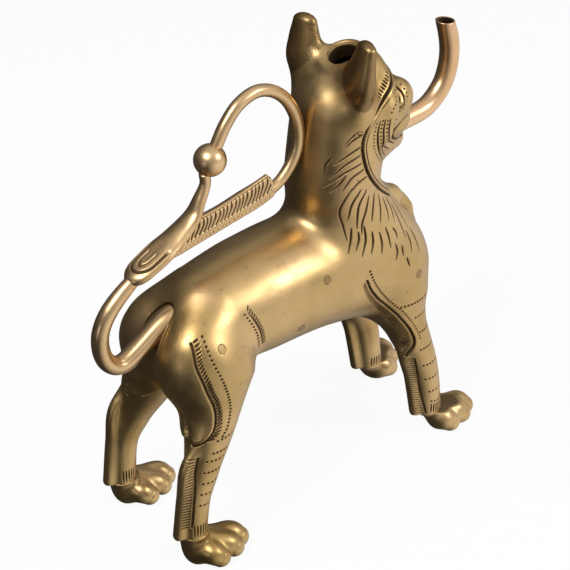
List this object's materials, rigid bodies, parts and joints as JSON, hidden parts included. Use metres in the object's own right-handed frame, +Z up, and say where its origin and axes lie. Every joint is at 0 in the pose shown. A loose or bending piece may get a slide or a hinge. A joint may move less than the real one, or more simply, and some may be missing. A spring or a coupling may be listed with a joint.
{
  "type": "lion aquamanile",
  "caption": "Hollow cast brass lion for pouring water, filled through the crown and poured from a bent spout in the mouth, with the tail as its handle.",
  "frame": {"origin": "on the ground below the middle of the bounding box", "axes": "+X towards the muzzle, +Y towards the lion's left, +Z up"},
  "size_m": [0.2608, 0.0986, 0.2746],
  "materials": {
    "cast_brass": "aged, scraped and worn, dark in the engraved lines",
    "drawn_brass": "aged and worn smooth",
    "handle_brass": "aged, polished by the hand",
    "plug_brass": "dark and dull"
  },
  "bodies": {
    "root": {"body_shell": "cast_brass", "neck_shell": "cast_brass", "face_mask": "cast_brass", "filler_ring": "cast_brass", "ear_right": "cast_brass", "ear_left": "cast_brass", "spout_tube": "drawn_brass", "leg_rear_right": "cast_brass", "leg_rear_left": "cast_brass", "leg_front_right": "cast_brass", "leg_front_left": "cast_brass", "paw_rear_right": "cast_brass", "paw_rear_left": "cast_brass", "paw_front_right": "cast_brass", "paw_front_left": "cast_brass", "tail_curl": "handle_brass", "handle_loop": "handle_brass", "handle_comb": "handle_brass", "tail_ball": "handle_brass", "tail_tuft": "handle_brass", "plug_haunch_right": "plug_brass", "plug_haunch_left": "plug_brass", "plug_belly_right": "plug_brass", "plug_belly_left": "plug_brass", "plug_flank_right": "plug_brass", "plug_flank_left": "plug_brass", "plug_chest_right": "plug_brass", "plug_chest_left": "plug_brass"}
  },
  "joints": []
}
